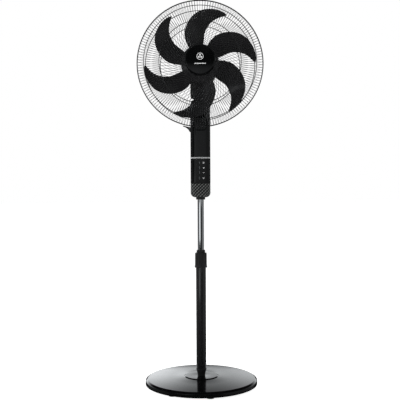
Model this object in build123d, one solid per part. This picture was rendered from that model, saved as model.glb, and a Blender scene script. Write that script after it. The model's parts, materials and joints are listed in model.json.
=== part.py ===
from build123d import *
import os
from math import cos, radians, sin

# A pedestal fan. Millimetres, +Z up, front towards -Y.
# The origin is the middle of the base, on the floor. Each function below makes
# one physical piece, and the table at the end writes one STEP per piece.

os.makedirs("parts", exist_ok=True)

# ---- driving dimensions -------------------------------------------------------
# base
BASE_R = 196.9            # outer radius of the round base
RIM_LOW = 7.0             # underside of the cover's rim
RIM_TOP = 25.0            # where the rim's rounding meets the shallow dome
DOME_TOP = 31.0           # height of the dome where the centre step begins
STEP_R = 61.0             # radius of the raised centre step
STEP_TOP = 34.5           # height of the centre step
COVER_WALL = 2.5
WEIGHT_LOW, WEIGHT_TOP = 9.0, 14.0
FOOT_COUNT, FOOT_R, FOOT_RING_R, FOOT_TURN = 8, 15.0, 168.5, 10.0

# poles
OUTER_POLE_R, OUTER_POLE_BORE = 17.5, 16.3
OUTER_POLE_LOW, OUTER_POLE_TOP = 60.0, 421.0
INNER_POLE_R, INNER_POLE_BORE = 11.0, 9.8
INNER_POLE_LOW, INNER_POLE_TOP = 250.0, 932.0
COLLAR_LOW, COLLAR_TOP = 416.0, 468.0
COLLET_TOP = 478.0
THREAD_TOP = 443.0        # top of the thread that the collar screws on
FIT = 0.05                # radial clearance of every running fit
FREE = 0.3                # clearance between pieces that only pass each other

# control column
POD_WIDTH, POD_DEPTH, POD_CORNER = 69.5, 64.0, 20.0
POD_LOW, POD_TOP, GRIP_TOP = 663.5, 1003.0, 713.5
POD_WALL = 2.5
TRIM_LOW, TRIM_TOP, TRIM_DEPTH = 799.0, 803.5, 1.2
BUTTON_X, BUTTON_R = 10.5, 4.4
BUTTON_HEIGHTS = {"power": 784.0, "speed": 766.5, "swing": 749.5, "timer": 730.5}
LENS_X, LENS_WIDTH, LENS_HEIGHT = -3.5, 2.2, 9.0
SCREW_X, SCREW_HEIGHTS = 25.0, (752.0, 955.0)
BOARD_LOW, BOARD_TOP = 721.0, 796.0
GLAND_Z = 738.5
SOCKET_LOW, SOCKET_TOP, SOCKET_SCREW_Z = 655.5, 711.5, 695.5

# tilt and swing
TILT_Z = 985.0            # height of the tilt pin, on the column's own axis
PIN_R = 4.0
NECK_HALF = 12.3          # half width of the neck's knuckle
PIVOT_R = 6.0             # swing pivot shaft, on the column's own axis
ARM_REACH = 24.0          # swing arm, from the pivot to its pin
CRANK_THROW = 14.0
LINK_LENGTH = 45.0

# fan and motor, all turned about the fan axis, which runs along Y at this height
HUB_Z = 1115.0
SHAFT_R = 4.0
BLADE_COUNT, BLADE_THICKNESS = 6, 2.4
BLADE_Y = -108.0          # middle plane of the blades
HUB_R = 64.5
BLADE_TURN = 29.5         # the first blade's tip, clockwise from straight up
MOTOR_R, MOTOR_WALL = 60.0, 2.5
COVER_SPLIT_Y = -8.0      # where the motor's front and rear covers meet
BOX_HALF, BOX_LOW, FRONT_BOX_LOW, BOX_ROUND = 34.0, 1016.0, 1010.0, 8.0

# guard
WIRE_R, WIRE_SIDES = 0.58, 8    # thin radial wires
RING_R = 1.2              # rings that the wires are welded to
RIM_R, RIM_WIRE_R = 212.0, 1.7
FRONT_RIM_Y, REAR_RIM_Y = -109.9, -106.3
WIRE_COUNT, INNER_WIRE_COUNT = 144, 72
FRONT_MID = (189.9, -142.0)    # radius and y where the front wires turn inwards
FRONT_INNER = (135.9, -156.0)  # inner ring of the front guard
FRONT_CENTRE = (47.0, -169.0)
REAR_MID = (188.6, -66.0)
REAR_INNER = (136.2, -55.5)
REAR_CENTRE = (60.7, -48.4)
SWIRL = 44.0              # degrees that a front inner wire turns on its way in
BADGE_R, BADGE_FRONT = 50.0, -184.0


# ---- helpers ------------------------------------------------------------------
def rod(axis, radius, start, end, centre=(0.0, 0.0), bore=0.0):
    """A cylinder or tube along one row axis; centre is on the other two, in XYZ order."""
    length, middle = end - start, (start + end) / 2
    solid = Cylinder(radius, length)
    if bore:
        solid -= Cylinder(bore, length)
    a, b = centre
    if axis == "x":
        return Pos(middle, a, b) * Rot(0, 90, 0) * solid
    if axis == "y":
        return Pos(a, middle, b) * Rot(90, 0, 0) * solid
    return Pos(a, b, middle) * solid


def block(x0, x1, y0, y1, z0, z1):
    """A box between two corners."""
    return Pos((x0 + x1) / 2, (y0 + y1) / 2, (z0 + z1) / 2) * Box(x1 - x0, y1 - y0, z1 - z0)


def profile(place, start, steps):
    """A closed face. Each step is a point, or a pair (point on an arc, its end)."""
    edges, here = [], start
    for step in list(steps) + [start]:
        if isinstance(step[0], tuple):
            edges.append(ThreePointArc(place(here), place(step[0]), place(step[1])))
            here = step[1]
        else:
            edges.append(Line(place(here), place(step)))
            here = step
    return make_face(edges)


def turned(start, *steps):
    """A solid of revolution about Z from a profile of (radius, height) points."""
    face = profile(lambda p: (p[0], 0, p[1]), start, steps)
    return revolve(face, Axis.Z, 360)


def turned_fan(start, *steps):
    """A solid of revolution about the fan axis from (radius, y) points."""
    face = profile(lambda p: (p[0], p[1], HUB_Z), start, steps)
    return revolve(face, Axis((0, 0, HUB_Z), (0, 1, 0)), 360)


def clock(radius, degrees_clockwise, y):
    """A point about the fan axis; the angle is clockwise from up, seen from the front."""
    t = radians(degrees_clockwise)
    return Vector(radius * sin(t), y, HUB_Z + radius * cos(t))


def around_fan(solid, count, start=0.0):
    """Copies of a solid, evenly spaced about the fan axis."""
    axis_frame = Location((0, 0, HUB_Z))
    back = Location((0, 0, -HUB_Z))
    return [axis_frame * Rot(0, start + 360 * i / count, 0) * back * solid for i in range(count)]


def group(solids):
    """Separate solids kept in one node."""
    return Compound(children=[s for item in solids for s in item.solids()])


def cross(x, z, y0, y1):
    """The cross recess of a screw head, cut along Y."""
    long, short = 2.2, 0.5
    return block(x - long, x + long, y0, y1, z - short, z + short) \
        + block(x - short, x + short, y0, y1, z - long, z + long)


def pod_form(shrink, low, top, low_round, top_round):
    """The column's rounded body, shrunk evenly by the given distance."""
    section = RectangleRounded(POD_WIDTH - 2 * shrink, POD_DEPTH - 2 * shrink, POD_CORNER - shrink)
    body = extrude(Pos(0, 0, low) * section, amount=top - low)
    body = fillet(body.faces().sort_by(Axis.Z)[0].edges(), low_round)
    return fillet(body.faces().sort_by(Axis.Z)[-1].edges(), top_round)


# ---- base ---------------------------------------------------------------------
def base_cover():
    w = COVER_WALL
    hole = 13.6
    outer = turned((hole, RIM_LOW), (BASE_R, RIM_LOW), (BASE_R, 17.0),
                   ((BASE_R - 1.9, 22.6), (BASE_R - 8.0, RIM_TOP)),
                   (STEP_R + 1.5, DOME_TOP), (STEP_R - 1.0, STEP_TOP - 1.0), (STEP_R - 4.0, STEP_TOP),
                   (hole, STEP_TOP))
    inner = turned((0, RIM_LOW - 1), (BASE_R - w, RIM_LOW - 1), (BASE_R - w, 16.5),
                   (BASE_R - 9.0, RIM_TOP - w), (STEP_R, DOME_TOP - w), (STEP_R - 3.5, STEP_TOP - w),
                   (0, STEP_TOP - w))
    return outer - inner


def base_weight():
    plate = rod("z", 183.0, WEIGHT_LOW, WEIGHT_TOP, bore=5.4)
    ribs = [Rot(0, 0, 45 * i) * block(30, 170, -3, 3, WEIGHT_TOP - 0.5, WEIGHT_TOP + 2.5) for i in range(8)]
    return plate + ribs


def base_feet():
    pad = turned((0, 0), (FOOT_R - 1.5, 0), (FOOT_R, 1.5), (FOOT_R, WEIGHT_LOW), (0, WEIGHT_LOW))
    places = [Rot(0, 0, -90 + FOOT_TURN + 360 * i / FOOT_COUNT) for i in range(FOOT_COUNT)]
    return group([place * Pos(FOOT_RING_R, 0, 0) * pad for place in places])


def base_bolt():
    shank = rod("z", 5.0, 6.0, 54.0)
    head = rod("z", 12.0, 5.0, WEIGHT_LOW)
    wing = block(-26, 26, -2.5, 2.5, 2.5, 6.0)
    return shank + head + wing


def pole_foot():
    seat = 13.4
    outer = turned((0, WEIGHT_TOP), (seat, WEIGHT_TOP), (seat, STEP_TOP),
                   ((15.2, 47.0), (18.2, 58.5)), (18.2, OUTER_POLE_LOW),
                   (OUTER_POLE_BORE, OUTER_POLE_LOW), (OUTER_POLE_BORE, 78.0), (0, 78.0))
    return outer - rod("z", 5.0, WEIGHT_TOP, 54.0)


# ---- height adjustment ----------------------------------------------------------
def outer_pole():
    return rod("z", OUTER_POLE_R, OUTER_POLE_LOW, OUTER_POLE_TOP, bore=OUTER_POLE_BORE)


def pole_collet():
    bore, lip, thread = INNER_POLE_R + FIT, 15.0, 17.4
    low = OUTER_POLE_TOP - 37.0
    body = turned((bore, low), (OUTER_POLE_BORE, low), (OUTER_POLE_BORE, OUTER_POLE_TOP),
                  (thread, OUTER_POLE_TOP), (thread, THREAD_TOP), (14.6, THREAD_TOP + 4),
                  (13.6, COLLAR_TOP - 1.0),
                  (lip, COLLAR_TOP + 0.6), (lip, COLLET_TOP - 1.5), (lip - 1.5, COLLET_TOP),
                  (bore, COLLET_TOP))
    for angle in (45, 135):
        body -= Rot(0, 0, angle) * block(-30, 30, -0.8, 0.8, THREAD_TOP + 6, COLLET_TOP + 1)
    return body


def height_collar():
    grooves, groove_r = 18, 2.0
    throat = 15.0 + FREE + 0.1
    body = turned((17.5 + FREE, COLLAR_LOW), (21.6, COLLAR_LOW), (21.9, COLLAR_LOW + 5.0),
                  (20.9, COLLAR_LOW + 9.0), (20.6, COLLAR_TOP - 2.0), (19.2, COLLAR_TOP),
                  (throat, COLLAR_TOP), (throat, THREAD_TOP + 6), (17.5 + FREE, THREAD_TOP + 3))
    for i in range(grooves):
        angle = 360 * i / grooves
        place = Rot(0, 0, angle) * Pos(21.9, 0, 0)
        body -= place * rod("z", groove_r, COLLAR_LOW + 9.0, COLLAR_TOP - 3.0)
    return body


def inner_pole():
    return rod("z", INNER_POLE_R, INNER_POLE_LOW, INNER_POLE_TOP, bore=INNER_POLE_BORE)


def pole_bush():
    return rod("z", OUTER_POLE_BORE - FIT, INNER_POLE_LOW, INNER_POLE_LOW + 18.0, bore=INNER_POLE_R)


# ---- control column -------------------------------------------------------------
def pod_outer():
    return pod_form(0.0, POD_LOW, POD_TOP, 16.0, 10.0)


def pod_inner():
    return pod_form(POD_WALL, POD_LOW + 3.0, POD_TOP - 3.0, 13.0, 8.0)


def pod_shell():
    neck_opening = block(-15.5, 15.5, -18.5, 22.5, POD_TOP - 10, POD_TOP + 1)
    return pod_outer() - pod_inner() - neck_opening


def pod_grip():
    cup = pod_shell() & block(-50, 50, -50, 50, POD_LOW - 1, GRIP_TOP)
    return cup - rod("z", 16.0, POD_LOW - 1, POD_LOW + 5)


def screw_places():
    return [(side * SCREW_X, z) for side in (-1, 1) for z in SCREW_HEIGHTS]


def pod_trim():
    core = pod_form(TRIM_DEPTH, POD_LOW, POD_TOP, 15.0, 9.0)
    band = block(-50, 50, -50, 0, TRIM_LOW, TRIM_TOP)
    return (pod_outer() - core) & band


def pod_front():
    half = block(-50, 50, -50, 0, GRIP_TOP, POD_TOP + 1)
    inside = pod_inner()
    body = pod_shell() & half
    for x, z in screw_places():
        body += rod("y", 4.0, -30, 0, (x, z)) & inside
    for x, z in screw_places():
        body -= rod("y", 1.75, -15, 1, (x, z))
    for x in (-17, 17):
        for z in (BOARD_LOW + 2.5, BOARD_TOP - 2.5):
            body += rod("y", 2.2, -30.0, -22.0, (x, z))
    for z in BUTTON_HEIGHTS.values():
        body -= rod("y", BUTTON_R + 0.2, -40, -20, (BUTTON_X, z))
        body -= block(LENS_X - LENS_WIDTH / 2, LENS_X + LENS_WIDTH / 2, -40, -25,
                      z - LENS_HEIGHT / 2, z + LENS_HEIGHT / 2)
    return body - pod_trim()


def pod_back():
    half = block(-50, 50, 0, 50, GRIP_TOP, POD_TOP + 1)
    inside = pod_inner()
    body = pod_shell() & half
    for x, z in screw_places():
        body += rod("y", 5.4, 0, 31, (x, z)) & inside
    for x, z in screw_places():
        body -= rod("y", 1.95, -1, 40, (x, z))
        body -= rod("y", 3.6, 16, 40, (x, z))
    return body - rod("y", 7.0, 20, 40, (0, GLAND_Z))


def pod_screws():
    screws = []
    for x, z in screw_places():
        screws.append(rod("y", 1.75, -14, 16, (x, z)) + rod("y", 3.4, 16, 18.6, (x, z))
                      - cross(x, z, 17.6, 19))
    return group(screws)


def cord_gland():
    ring = rod("y", 7.0, 26, 32, (0, GLAND_Z)) + rod("y", 9.0, 32, 34, (0, GLAND_Z))
    return ring - rod("y", 3.8, 20, 40, (0, GLAND_Z))


def pole_socket():
    sleeve = rod("z", 16.0, SOCKET_LOW, SOCKET_TOP)
    flange = rod("z", 26.0, POD_LOW + 3.0, POD_LOW + 7.0)
    flange = flange & pod_inner()
    bore = rod("z", INNER_POLE_R, SOCKET_LOW - 5, SOCKET_TOP + 5)
    return sleeve + flange - bore - rod("y", 2.5, -30, 0, (0, SOCKET_SCREW_Z))


def socket_screw():
    place = (0, SOCKET_SCREW_Z)
    return rod("y", 2.5, -19.0, -INNER_POLE_R, place) + rod("y", 4.2, -21.0, -16.0, place) \
        - rod("y", 1.6, -22.0, -19.0, place)


def control_board():
    """The board behind the buttons, with its chips and one push switch for each button."""
    front, back = -22.0, -20.4
    board = block(-20.5, 20.5, front, back, BOARD_LOW, BOARD_TOP)
    chips = [block(-19, -10, back, back + 2.0, 762, 771), block(11, 19, back, back + 3.4, 742, 752),
             rod("y", 3.0, back, back + 4.0, (-15, 782))]
    switches = [block(BUTTON_X - 3, BUTTON_X + 3, front - 3.2, front, z - 3, z + 3)
                for z in BUTTON_HEIGHTS.values()]
    return board + chips + switches


def indicator_lenses():
    return group([block(LENS_X - LENS_WIDTH / 2, LENS_X + LENS_WIDTH / 2, -POD_DEPTH / 2, -22.0,
                        z - LENS_HEIGHT / 2, z + LENS_HEIGHT / 2) for z in BUTTON_HEIGHTS.values()])


def button(height):
    front = -POD_DEPTH / 2 - 0.7
    cap = rod("y", BUTTON_R, front, -27.0, (BUTTON_X, height))
    cap = fillet(cap.edges().group_by(Axis.Y)[0], 0.5)
    flange = rod("y", 6.0, -29.2, -27.6, (BUTTON_X, height))
    return cap + flange + rod("y", 1.6, -27.0, -26.2, (BUTTON_X, height))


# ---- tilt and swing --------------------------------------------------------------
def tilt_yoke():
    inner, outer, cheek_half, plate = NECK_HALF + FREE, 17.0, 13.0, INNER_POLE_TOP
    cup = rod("z", 14.0, plate - 14.0, plate) - rod("z", INNER_POLE_R, plate - 14.0, plate)
    base = block(-outer, outer, -14, 14, plate, plate + 5)
    yoke = cup + base
    for side in (-1, 1):
        x0, x1 = sorted((side * inner, side * outer))
        yoke += block(x0, x1, -cheek_half, cheek_half, plate + 5, TILT_Z)
        yoke += rod("x", cheek_half, x0, x1, (0, TILT_Z))
    return yoke - rod("x", PIN_R, -30, 30, (0, TILT_Z))


def tilt_pin():
    return rod("x", PIN_R, -20.0, 24.0, (0, TILT_Z)) + rod("x", 6.5, -23.5, -17.0, (0, TILT_Z))


def tilt_nut():
    nut = extrude(Plane.YZ * RegularPolygon(7.0, 6), amount=5.0)
    nut = Pos(17.0, 0, TILT_Z) * nut
    return nut - rod("x", PIN_R, 10, 30, (0, TILT_Z))


def neck_bracket():
    neck = rod("x", 11.0, -NECK_HALF, NECK_HALF, (0, TILT_Z))
    neck += block(-NECK_HALF, NECK_HALF, -11, 11, TILT_Z, 1004.5)
    neck += rod("z", 13.5, 1004.5, 1020.0)
    return neck - rod("x", PIN_R + FIT, -20, 20, (0, TILT_Z)) - rod("z", PIVOT_R, 1002.0, 1021.0)


def pivot_shaft():
    """The swing pivot, upset at its top so that the head can't lift off."""
    return rod("z", PIVOT_R, 1002.0, 1057.6) + rod("z", 8.5, 1057.6, 1060.6)


def swing_arm():
    arm = rod("z", 12.0, 1020.0, 1023.0) + block(0, ARM_REACH, -5, 5, 1020.0, 1023.0)
    arm += rod("z", 5.0, 1020.0, 1023.0, (ARM_REACH, 0))
    arm += rod("z", 2.5, 1023.0, 1027.4, (ARM_REACH, 0))
    return arm - rod("z", PIVOT_R, 1019.0, 1024.0)


def swing_link():
    ends = [rod("z", 4.6, 1028.0, 1030.5, (ARM_REACH, y)) for y in (0, LINK_LENGTH)]
    bar = block(ARM_REACH - 3, ARM_REACH + 3, 0, LINK_LENGTH, 1028.0, 1030.5)
    link = bar + ends
    for y in (0, LINK_LENGTH):
        link -= rod("z", 2.5 + FIT, 1027.0, 1032.0, (ARM_REACH, y))
    return link


def crank_centre():
    return (ARM_REACH - CRANK_THROW, LINK_LENGTH)


def swing_crank():
    disc = rod("z", CRANK_THROW + 4.5, 1031.0, 1034.0, crank_centre())
    hub = rod("z", 6.0, 1034.0, 1036.5, crank_centre())
    pin = rod("z", 2.5, 1027.4, 1031.0, (ARM_REACH, LINK_LENGTH))
    return disc + hub + pin - rod("z", 3.0 + FIT, 1032.0, 1037.0, crank_centre())


def swing_motor():
    can = rod("z", 19.0, 1037.0, 1052.0, crank_centre())
    shaft = rod("z", 3.0, 1032.5, 1037.0, crank_centre())
    ear = block(-20.0, 5.0, LINK_LENGTH - 4, LINK_LENGTH + 4, 1050.0, 1052.0)
    return fillet(can.edges().group_by(Axis.Z)[-1], 2.0) + shaft + ear


def swing_bracket():
    body = block(-22, 22, -20, 22, 1034.5, 1078.0)
    body -= rod("y", 52.0, -60, 60, (0, HUB_Z))
    body -= rod("z", PIVOT_R + FIT, 1030, 1070)
    return body - rod("z", 9.5, 1057.3, 1070)


# ---- motor ------------------------------------------------------------------------
def motor_shaft():
    """The motor's shaft with the cross pin that drives the blades' hub."""
    return rod("y", SHAFT_R, -141.0, 58.0, (0, HUB_Z)) + rod("x", 1.5, -10, 10, (-94.4, HUB_Z))


def rotor_core():
    return rod("y", 26.5, -12.0, 24.0, (0, HUB_Z)) - rod("y", SHAFT_R, -20, 40, (0, HUB_Z))


def stator_core():
    slots, body = 8, rod("y", 50.0, -14.0, 26.0, (0, HUB_Z)) - rod("y", 27.0, -20, 40, (0, HUB_Z))
    slot = block(-3.5, 3.5, -20, 40, HUB_Z + 29.5, HUB_Z + 42)
    for cut in around_fan(slot, slots, 180 / slots):
        body -= cut
    return body


def stator_windings():
    front = turned_fan((30, -14), ((38, -28), (46, -14)))
    rear = turned_fan((30, 26), ((38, 40), (46, 26)))
    return group([front, rear])


def bell(side, plate_y, lip_y):
    low, high = sorted((plate_y, lip_y))
    cup = rod("y", 52.0, low, high, (0, HUB_Z)) - rod("y", 50.0, low, high, (0, HUB_Z))
    far = plate_y + side * 3.0
    a, b = sorted((plate_y, far))
    plate = rod("y", 52.0, a, b, (0, HUB_Z))
    vent = block(-5, 5, a - 1, b + 1, HUB_Z + 22, HUB_Z + 40)
    for cut in around_fan(vent, 6, 0):
        plate -= cut
    return cup + plate - rod("y", 8.0, a - 1, b + 1, (0, HUB_Z))


def front_bell():
    return bell(-1, -34.0, -2.0)


def rear_bell():
    body = bell(1, 46.0, 14.0)
    for place in cover_screw_places():
        body -= rod("y", 1.6, 40, 50, place)
    return body


def bearing(start, end):
    return rod("y", 8.0, start, end, (0, HUB_Z)) - rod("y", SHAFT_R + 0.03, start, end, (0, HUB_Z))


def cover_screw_places():
    points = [clock(34.0, angle, 0) for angle in (90.0, 210.0, 330.0)]
    return [(p.X, p.Z) for p in points]


def cover_block(shrink, low, y0, y1):
    """The lower box of the motor covers, which hides the swing drive, shrunk by the given distance."""
    half = BOX_HALF - shrink
    body = block(-half, half, y0, y1, low + shrink, HUB_Z - 20)
    edges = body.edges().filter_by(Axis.Y).group_by(Axis.Z)[0]
    return fillet(edges, BOX_ROUND - shrink)


def motor_front_cover():
    w, split = MOTOR_WALL, COVER_SPLIT_Y
    outer = turned_fan((0, split), (MOTOR_R, split), (MOTOR_R, -32.0),
                       ((56.4, -42.0), (46.0, -46.0)), (0, -46.0))
    inner = turned_fan((0, split + 1), (MOTOR_R - w, split + 1), (MOTOR_R - w, -31.5),
                       ((54.0, -40.2), (45.5, -43.5)), (0, -43.5))
    outer += cover_block(0, FRONT_BOX_LOW, -30.0, split)
    inner += cover_block(w, FRONT_BOX_LOW, -30.0 + w, split - w)
    inner += cover_block(w, BOX_LOW, -30.0 + w, split + 1)
    body = outer - inner + turned_fan((12, -46), (22, -46), (22, -62), (12, -62))
    return body - rod("y", 12.0, -70, -40, (0, HUB_Z)) - rod("z", 16.0, FRONT_BOX_LOW - 1, BOX_LOW + 5)


def motor_rear_cover():
    w, split, slots = MOTOR_WALL, COVER_SPLIT_Y, 16
    outer = turned_fan((0, split), (MOTOR_R, split), (MOTOR_R, 34.0), ((54.6, 59.0), (38.0, 76.0)), (0, 76.0))
    inner = turned_fan((0, split - 1), (MOTOR_R - w, split - 1), (MOTOR_R - w, 33.5),
                       ((52.4, 57.4), (37.0, 73.5)), (0, 73.5))
    box_rear = 68.0
    outer += cover_block(0, BOX_LOW, split, box_rear)
    inner += cover_block(w, BOX_LOW, split - 1, box_rear - w)
    body = outer - inner
    for place in cover_screw_places():
        body += rod("y", 4.6, 49.0, 75.0, place)
    slot = block(-1.2, 1.2, 70, 90, HUB_Z + 12, HUB_Z + 26)
    for cut in around_fan(slot, slots, 10):
        body -= cut
    for place in cover_screw_places():
        body -= rod("y", 1.8, 40, 90, place)
        body -= rod("y", 3.7, 60, 90, place)
    return body - rod("z", 16.0, BOX_LOW - 1, BOX_LOW + 5)


def cover_screws():
    screws = []
    for place in cover_screw_places():
        screws.append(rod("y", 1.6, 45.5, 60.0, place) + rod("y", 3.4, 60.0, 62.6, place)
                      - cross(*place, 61.6, 63))
    return group(screws)


# ---- fan blades ---------------------------------------------------------------------
# One blade's outline: radius, trailing edge and leading edge in degrees clockwise
# from the tip, and the axial depth from the front (trailing) to the rear (leading) edge.
BLADE_SECTIONS = [(62.8, -66.5, -19.5, 40.0), (83.5, -63.5, -20.2, 39.0), (105.0, -59.0, -20.8, 36.0),
                  (126.5, -52.0, -18.0, 33.0), (147.0, -44.0, -14.0, 29.0), (164.6, -36.0, -8.6, 25.0),
                  (178.3, -27.0, -3.0, 19.0), (186.6, -17.0, -0.6, 12.0), (190.0, -9.5, -4.0, 4.0)]


def blade_section(radius, trailing, leading, depth):
    """A thin bowed slice of the blade, in the plane through its two edges."""
    middle, half_angle = radians((trailing + leading) / 2), radians((leading - trailing) / 2)
    reach, half_chord, half = radius * cos(half_angle), radius * sin(half_angle), BLADE_THICKNESS / 2

    def place(point):
        along, y = point
        return (reach * sin(middle) + along * cos(middle), y,
                HUB_Z + reach * cos(middle) - along * sin(middle))

    front, rear, bow = BLADE_Y - depth / 2, BLADE_Y + depth / 2, BLADE_Y + 0.12 * depth
    return profile(place, (-half_chord, front - half),
                   [((0, bow - half), (half_chord, rear - half)), (half_chord, rear + half),
                    ((0, bow + half), (-half_chord, front + half))])


def blade():
    return loft([blade_section(*section) for section in BLADE_SECTIONS]) \
        - rod("y", 61.6, -150, -60, (0, HUB_Z))


def fan_blades():
    shell = turned_fan((SHAFT_R, -133), (48, -131), ((60.2, -127), (HUB_R, -117)), (HUB_R, -86),
                       (61.5, -86), (61.5, -116), ((58.0, -124.4), (48, -128)), (12, -129.5),
                       (12, -96), (SHAFT_R, -96))
    for copy in around_fan(blade(), BLADE_COUNT, BLADE_TURN):
        shell += copy
    return shell


def blade_nut():
    knob = turned_fan((SHAFT_R, -133), (20, -133), (19, -142), ((17, -147), (12, -149)), (0, -149.5),
                      (0, -141), (SHAFT_R, -141))
    for i in range(8):
        spot = clock(21.5, 45 * i, 0)
        knob -= rod("y", 3.0, -150, -135, (spot.X, spot.Z))
    return knob


# ---- guard ---------------------------------------------------------------------------
def wire_along(*edges):
    """A thin wire swept along edges that join smoothly. Eight sides keep 432 wires light."""
    path = Wire(list(edges))
    start = Plane(origin=path @ 0, z_dir=path % 0)
    return sweep(start * RegularPolygon(WIRE_R, WIRE_SIDES), path=path)


def ring(radius, y, thickness):
    """A closed ring of round wire about the fan axis."""
    plane = Plane(origin=(radius, y, HUB_Z), x_dir=(1, 0, 0), z_dir=(0, 0, 1))
    return revolve(plane * Circle(thickness), Axis((0, 0, HUB_Z), (0, 1, 0)), 360)


def outer_wire(rim_y, middle, inner):
    """A guard wire: a straight run from the inner ring, then a smooth bow to the rim."""
    turn = clock(middle[0], 0, middle[1])
    run = Line(clock(inner[0], 0, inner[1]), turn)
    bow = TangentArc(turn, clock(RIM_R - RIM_WIRE_R, 0, rim_y), tangent=run % 1)
    return wire_along(run, bow)


def front_inner_wire():
    """A wire of the front guard's middle, which curls as it runs in from the inner ring."""
    start, end = FRONT_INNER, FRONT_CENTRE
    middle_r, middle_turn = 94.0, 0.36 * SWIRL
    middle_y = start[1] + (end[1] - start[1]) * 0.52
    middle = clock(middle_r, -middle_turn, middle_y)
    return wire_along(ThreePointArc(clock(start[0] - 0.6, 0, start[1]), middle,
                                    clock(end[0], -SWIRL, end[1])))


def rear_inner_wire():
    start, end = REAR_INNER, REAR_CENTRE
    return wire_along(Line(clock(start[0] - 0.6, 0, start[1]), clock(end[0], 0, end[1])))


def front_wires():
    outer = around_fan(outer_wire(FRONT_RIM_Y, FRONT_MID, FRONT_INNER), WIRE_COUNT)
    return group(outer + around_fan(front_inner_wire(), INNER_WIRE_COUNT, 180 / WIRE_COUNT))


def rear_wires():
    outer = around_fan(outer_wire(REAR_RIM_Y, REAR_MID, REAR_INNER), WIRE_COUNT)
    return group(outer + around_fan(rear_inner_wire(), INNER_WIRE_COUNT, 180 / WIRE_COUNT))


def front_rings():
    step = WIRE_R + RING_R
    return group([ring(RIM_R, FRONT_RIM_Y, RIM_WIRE_R),
                  ring(FRONT_MID[0] - 1.5, FRONT_MID[1] + step + 0.4, RING_R),
                  ring(FRONT_INNER[0], FRONT_INNER[1] + step, RING_R),
                  ring(FRONT_CENTRE[0], FRONT_CENTRE[1] + step, RING_R)])


def rear_rings():
    step = WIRE_R + RING_R
    return group([ring(RIM_R, REAR_RIM_Y, RIM_WIRE_R),
                  ring(REAR_MID[0] - 1.5, REAR_MID[1] - step - 0.3, RING_R),
                  ring(REAR_INNER[0], REAR_INNER[1] - step, RING_R)])


def rear_centre_plate():
    plate = turned_fan((22.3, -49.5), (60.0, -49.5), (60.0, -47.0), (22.3, -47.0))
    hole = rod("y", 3.0, -55, -45, (0, HUB_Z + 48))
    for cut in around_fan(hole, 6, 15):
        plate -= cut
    return plate


def rear_nut():
    nut = turned_fan((22, -49.5), (36, -49.5), (36, -56), (30, -59), (22, -59))
    for i in range(12):
        spot = clock(37.5, 30 * i, 0)
        nut -= rod("y", 3.0, -60, -50.5, (spot.X, spot.Z))
    return nut


def badge_disc():
    f = BADGE_FRONT
    return turned_fan((0, f), (BADGE_R - 4, f), ((BADGE_R - 1.2, f + 1.2), (BADGE_R, f + 4)),
                      (BADGE_R, FRONT_CENTRE[1] - 1.0), (BADGE_R - 2.5, FRONT_CENTRE[1] - 1.0),
                      (BADGE_R - 2.5, f + 6), (0, f + 6))


def badge_back():
    y = FRONT_CENTRE[1] + WIRE_R + 2 * RING_R
    return turned_fan((0, y), (44.0, y), (44.0, BADGE_FRONT + 6), (41.5, BADGE_FRONT + 6),
                      (41.5, y - 2.0), (0, y - 2.0))


def badge_emblem():
    """A plain ring with three petals and a bar below, standing just proud of the badge."""
    f, t, rise = BADGE_FRONT, 0.6, 11.5
    centre = (0, HUB_Z + rise)
    pieces = [rod("y", 11.2, f - t, f, centre) - rod("y", 9.6, f - t, f, centre)]
    petal = rod("y", 3.0, f - t, f, (0, HUB_Z + rise + 4.6))
    turn = Location((0, 0, HUB_Z + rise))
    back = Location((0, 0, -HUB_Z - rise))
    for i in range(3):
        pieces.append(turn * Rot(0, 120 * i, 0) * back * petal)
    pieces.append(block(-19, 19, f - t, f, HUB_Z - 13.0, HUB_Z - 10.5))
    return group(pieces)


# ---- guard latch and lug ----------------------------------------------------------------
LATCH_Y, LATCH_Z = -97.0, 1332.6     # the latch's hinge pin


def rim_latch():
    top = block(-19.5, 19.5, -117.5, LATCH_Y, LATCH_Z - 1.0, LATCH_Z + 2.5)
    top = fillet(top.edges().filter_by(Axis.Z), 3.0)
    lip = block(-13, 13, -117.5, -115.0, 1329.0, LATCH_Z - 1.0)
    knuckle = rod("x", 2.5, -13.5, 13.5, (LATCH_Y, LATCH_Z))
    body = top + lip + knuckle - rod("x", 1.0 + FIT, -30, 30, (LATCH_Y, LATCH_Z))
    for x0, x1 in ((-25, -13.5), (13.5, 25)):
        body -= block(x0, x1, LATCH_Y - 4.0, LATCH_Y + 5, LATCH_Z - 7, LATCH_Z + 8)
    return body


def latch_mount():
    low, back, top = LATCH_Z - 4.0, LATCH_Y + 3, LATCH_Z + 2.5
    base = block(-18, 18, -104.2, back, low, low + 1.2)
    ears = [block(x0, x1, LATCH_Y - 3, back, low, top) for x0, x1 in ((-18, -13.8), (13.8, 18))]
    return base + ears + rod("x", 1.0, -17.0, 17.0, (LATCH_Y, LATCH_Z))


LUG_SCREW = (-37.5, 894.6)           # x and z of the safety screw


def rim_lug():
    """The guard's closing lug: a wedge under the rim that the safety screw pulls shut."""
    face = profile(lambda p: (p[0], -119.0, p[1]), (-58.0, 904.2),
                   [((-44.0, 897.1), (-36.0, 885.6)), (-33.0, 885.6), (-33.0, 900.2),
                    ((-46.0, 902.9), (-58.0, 906.2))])
    lug = extrude(face, amount=24.0, dir=(0, 1, 0))
    return lug - rod("y", 1.8, -125, -90, LUG_SCREW)


def lug_screw():
    return rod("y", 1.8, -119.0, -93.0, LUG_SCREW) + rod("y", 3.4, -121.5, -119.0, LUG_SCREW) \
        - cross(*LUG_SCREW, -122, -120.6)


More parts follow.
